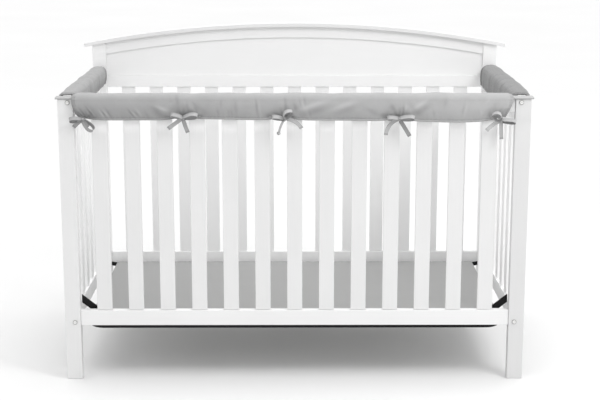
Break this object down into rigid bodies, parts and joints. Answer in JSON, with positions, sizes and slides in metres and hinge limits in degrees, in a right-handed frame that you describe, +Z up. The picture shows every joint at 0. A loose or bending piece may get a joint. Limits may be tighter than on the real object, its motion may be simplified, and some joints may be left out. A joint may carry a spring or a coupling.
{
  "type": "crib rail cover set on a crib",
  "caption": "Padded cloth covers on the front and side rails of a plain slatted crib with an arched headboard. The front cover is tied on with ribbon bows.",
  "frame": {"origin": "on the floor, under the middle of the whole object's box", "axes": "+X along the crib to the right as seen from the front, +Y to the headboard side, +Z up"},
  "size_m": [1.464, 0.814, 1.038],
  "materials": {
    "cover_cloth": "matt soft-brushed grey weave",
    "tie_ribbon": "matt grey cloth ribbon",
    "white_paint": "satin white paint on wood",
    "support_steel": "black powder coat",
    "board_laminate": "matt grey laminate on a wood board",
    "bolt_metal": "pale plated"
  },
  "bodies": {
    "root": {"front_cover": "cover_cloth", "left_cover": "cover_cloth", "right_cover": "cover_cloth", "tie_1": "tie_ribbon", "tie_2": "tie_ribbon", "tie_3": "tie_ribbon", "tie_4": "tie_ribbon", "tie_5": "tie_ribbon", "post_front_left": "white_paint", "post_front_right": "white_paint", "post_back_left": "white_paint", "post_back_right": "white_paint", "front_cap": "white_paint", "front_top_rail": "white_paint", "front_bottom_rail": "white_paint", "headboard_moulding": "white_paint", "headboard_top_rail": "white_paint", "headboard_panel": "white_paint", "headboard_lower_rail": "white_paint", "back_bottom_rail": "white_paint", "end_panel_left": "white_paint", "end_panel_right": "white_paint", "front_slat_01": "white_paint", "front_slat_02": "white_paint", "front_slat_03": "white_paint", "front_slat_04": "white_paint", "front_slat_05": "white_paint", "front_slat_06": "white_paint", "front_slat_07": "white_paint", "front_slat_08": "white_paint", "front_slat_09": "white_paint", "front_slat_10": "white_paint", "front_slat_11": "white_paint", "front_slat_12": "white_paint", "front_slat_13": "white_paint", "back_slat_01": "white_paint", "back_slat_02": "white_paint", "back_slat_03": "white_paint", "back_slat_04": "white_paint", "back_slat_05": "white_paint", "back_slat_06": "white_paint", "back_slat_07": "white_paint", "back_slat_08": "white_paint", "back_slat_09": "white_paint", "back_slat_10": "white_paint", "back_slat_11": "white_paint", "back_slat_12": "white_paint", "back_slat_13": "white_paint", "mattress_support": "support_steel", "hanger_front_left": "support_steel", "hanger_front_right": "support_steel", "hanger_back_left": "support_steel", "hanger_back_right": "support_steel", "support_board": "board_laminate", "bolt_1": "bolt_metal", "bolt_2": "bolt_metal", "bolt_3": "bolt_metal", "bolt_4": "bolt_metal"}
  },
  "joints": []
}
